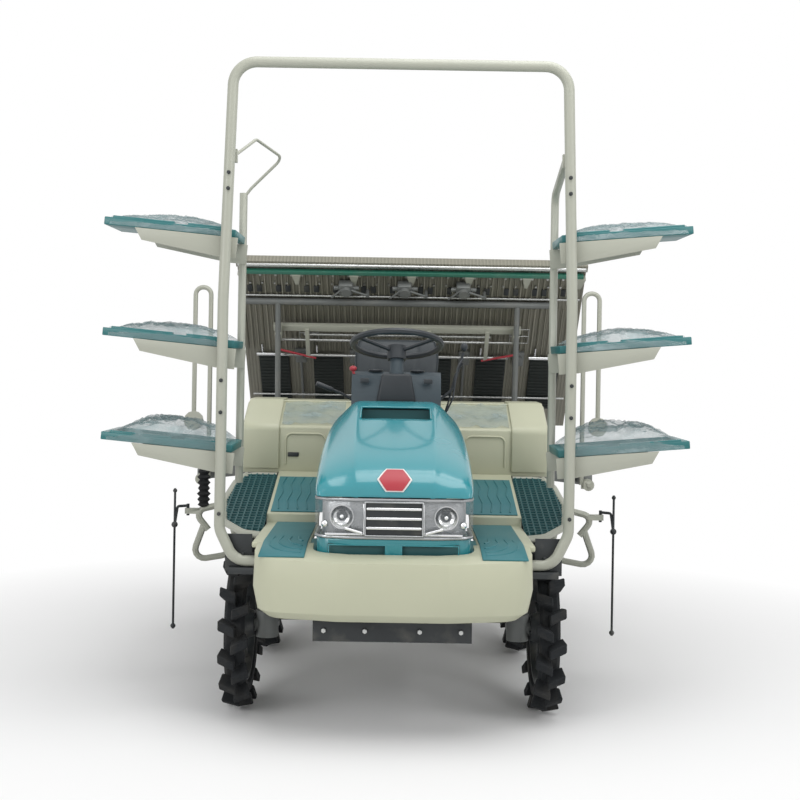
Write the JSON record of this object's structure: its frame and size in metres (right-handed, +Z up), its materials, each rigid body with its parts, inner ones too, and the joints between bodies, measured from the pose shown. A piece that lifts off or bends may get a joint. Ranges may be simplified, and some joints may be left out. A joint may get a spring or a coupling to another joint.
{
  "type": "riding rice transplanter",
  "caption": "Riding rice transplanter with a lifted planting section, steered front wheels, tilting hood, and seedling racks on a tube hoop.",
  "frame": {"origin": "on the floor, under the centre of the bounding box", "axes": "+Z up, -Y to the front of the machine, +X to the driver's left"},
  "size_m": [2.2362, 2.95, 2.5209],
  "materials": {
    "black_steel": "satin",
    "cast_grey": "satin",
    "cream_panel": "satin",
    "teal_gloss": "gloss",
    "lamp": "polished",
    "grey_seat": "matte",
    "tube_paint": "satin",
    "table_sheet": "satin",
    "wheel_grip": "matte",
    "teal_rubber": "matte",
    "step_mesh": "matte",
    "tyre": "matte",
    "tray_teal": "satin",
    "float_black": "matte"
  },
  "bodies": {
    "machine": {"chassis_frame": "black_steel", "engine_block": "cast_grey", "transmission_case": "cast_grey", "front_axle": "cast_grey", "rear_axle": "cast_grey", "front_bumper": "cream_panel", "floor_deck": "cream_panel", "rear_fender": "cream_panel", "nose_panel": "teal_gloss", "lamp_panel": "lamp", "seat": "grey_seat", "dash_console": "grey_seat", "hoop_frame": "tube_paint", "front_mat_right": "teal_rubber", "mesh_step_right": "step_mesh", "rack_frame_right": "tube_paint", "side_frame_right": "tube_paint", "tray_lower_right": "tray_teal", "tray_middle_right": "tray_teal", "tray_upper_right": "tray_teal", "front_mat_left": "teal_rubber", "mesh_step_left": "step_mesh", "rack_frame_left": "tube_paint", "side_frame_left": "tube_paint", "tray_lower_left": "tray_teal", "tray_middle_left": "tray_teal", "tray_upper_left": "tray_teal"},
    "hood_lid": {"hood": "teal_gloss"},
    "steering_wheel_body": {"steering_wheel": "wheel_grip"},
    "tie_rod_body": {"tie_rod": "black_steel"},
    "lower_link_body": {"lower_link": "black_steel"},
    "upper_link_body": {"upper_link": "black_steel"},
    "planter": {"planter_frame": "cast_grey", "float_right": "float_black", "float_center": "float_black", "float_left": "float_black"},
    "table": {"seedling_table": "table_sheet"},
    "knuckle_right": {"front_knuckle_right": "cast_grey"},
    "front_wheel_right_body": {"front_wheel_right": "tyre"},
    "rear_wheel_right_body": {"rear_wheel_right": "tyre"},
    "line_marker_right_body": {"line_marker_right": "tube_paint"},
    "side_marker_right_body": {"side_marker_right": "black_steel"},
    "knuckle_left": {"front_knuckle_left": "cast_grey"},
    "front_wheel_left_body": {"front_wheel_left": "tyre"},
    "rear_wheel_left_body": {"rear_wheel_left": "tyre"},
    "line_marker_left_body": {"line_marker_left": "tube_paint"},
    "side_marker_left_body": {"side_marker_left": "black_steel"},
    "rotor_right": {"planting_rotor_right": "cast_grey"},
    "rotor_center": {"planting_rotor_center": "cast_grey"},
    "rotor_left": {"planting_rotor_left": "cast_grey"}
  },
  "joints": [
    {"name": "hood_tilt", "type": "hinge", "parent": "machine", "child": "hood_lid", "pos_m": [0, -1.365, 0.897], "axis": [1, 0, 0], "range_deg": [0, 60]},
    {"name": "steer_right", "type": "hinge", "parent": "machine", "child": "knuckle_right", "pos_m": [-0.5, -0.875, 0.325], "axis": [0, 0, 1], "range_deg": [-38, 38]},
    {"name": "steer_left", "type": "hinge", "parent": "machine", "child": "knuckle_left", "pos_m": [0.5, -0.875, 0.325], "axis": [0, 0, 1], "range_deg": [-38, 38]},
    {"name": "tie_rod_slide", "type": "slide", "parent": "machine", "child": "tie_rod_body", "axis": [1, 0, 0], "range_m": [-0.09, 0.09]},
    {"name": "steering_wheel_turn", "type": "hinge", "parent": "machine", "child": "steering_wheel_body", "pos_m": [0, -0.495, 1.452], "axis": [0, 0.284, 0.9588], "range_deg": [-305, 305]},
    {"name": "front_wheel_right_spin", "type": "hinge", "parent": "knuckle_right", "child": "front_wheel_right_body", "pos_m": [-0.6, -0.875, 0.325], "axis": [1, 0, 0], "continuous": true},
    {"name": "rear_wheel_right_spin", "type": "hinge", "parent": "machine", "child": "rear_wheel_right_body", "pos_m": [-0.6, 0.175, 0.475], "axis": [1, 0, 0], "continuous": true},
    {"name": "front_wheel_left_spin", "type": "hinge", "parent": "knuckle_left", "child": "front_wheel_left_body", "pos_m": [0.6, -0.875, 0.325], "axis": [1, 0, 0], "continuous": true},
    {"name": "rear_wheel_left_spin", "type": "hinge", "parent": "machine", "child": "rear_wheel_left_body", "pos_m": [0.6, 0.175, 0.475], "axis": [1, 0, 0], "continuous": true},
    {"name": "planter_lower", "type": "hinge", "parent": "machine", "child": "lower_link_body", "pos_m": [0, 0.285, 0.55], "axis": [-1, 0, 0], "range_deg": [0, 45]},
    {"name": "upper_link_swing", "type": "hinge", "parent": "machine", "child": "upper_link_body", "pos_m": [0, 0.285, 0.8], "axis": [-1, 0, 0], "range_deg": [0, 45]},
    {"name": "planter_level", "type": "hinge", "parent": "lower_link_body", "child": "planter", "pos_m": [0, 0.84131, 0.77476], "axis": [-1, 0, 0], "range_deg": [-45, 0]},
    {"name": "table_shift", "type": "slide", "parent": "planter", "child": "table", "axis": [1, 0, 0], "range_m": [-0.21, 0.07]},
    {"name": "rotor_right_spin", "type": "hinge", "parent": "planter", "child": "rotor_right", "pos_m": [-0.6, 1.345, 0.8], "axis": [1, 0, 0], "continuous": true},
    {"name": "rotor_center_spin", "type": "hinge", "parent": "planter", "child": "rotor_center", "pos_m": [0, 1.345, 0.8], "axis": [1, 0, 0], "continuous": true},
    {"name": "rotor_left_spin", "type": "hinge", "parent": "planter", "child": "rotor_left", "pos_m": [0.6, 1.345, 0.8], "axis": [1, 0, 0], "continuous": true},
    {"name": "line_marker_right_fold", "type": "hinge", "parent": "planter", "child": "line_marker_right_body", "pos_m": [-1, 0.625, 0.75], "axis": [0, -1, 0], "range_deg": [0, 85]},
    {"name": "side_marker_right_swing", "type": "hinge", "parent": "machine", "child": "side_marker_right_body", "pos_m": [-0.889, -0.475, 0.72], "axis": [0, 0, -1], "range_deg": [0, 85]},
    {"name": "line_marker_left_fold", "type": "hinge", "parent": "planter", "child": "line_marker_left_body", "pos_m": [1, 0.625, 0.75], "axis": [0, 1, 0], "range_deg": [0, 85]},
    {"name": "side_marker_left_swing", "type": "hinge", "parent": "machine", "child": "side_marker_left_body", "pos_m": [0.889, -0.475, 0.72], "axis": [0, 0, 1], "range_deg": [0, 85]}
  ],
  "couplings": [
    {"joint": "steer_left", "follows": "steer_right", "ratio": 1},
    {"joint": "steering_wheel_turn", "follows": "steer_right", "ratio": 8},
    {"joint": "tie_rod_slide", "follows": "steer_right", "m_per_rad": -0.13},
    {"joint": "upper_link_swing", "follows": "planter_lower", "ratio": 1},
    {"joint": "planter_level", "follows": "planter_lower", "ratio": -1}
  ]
}
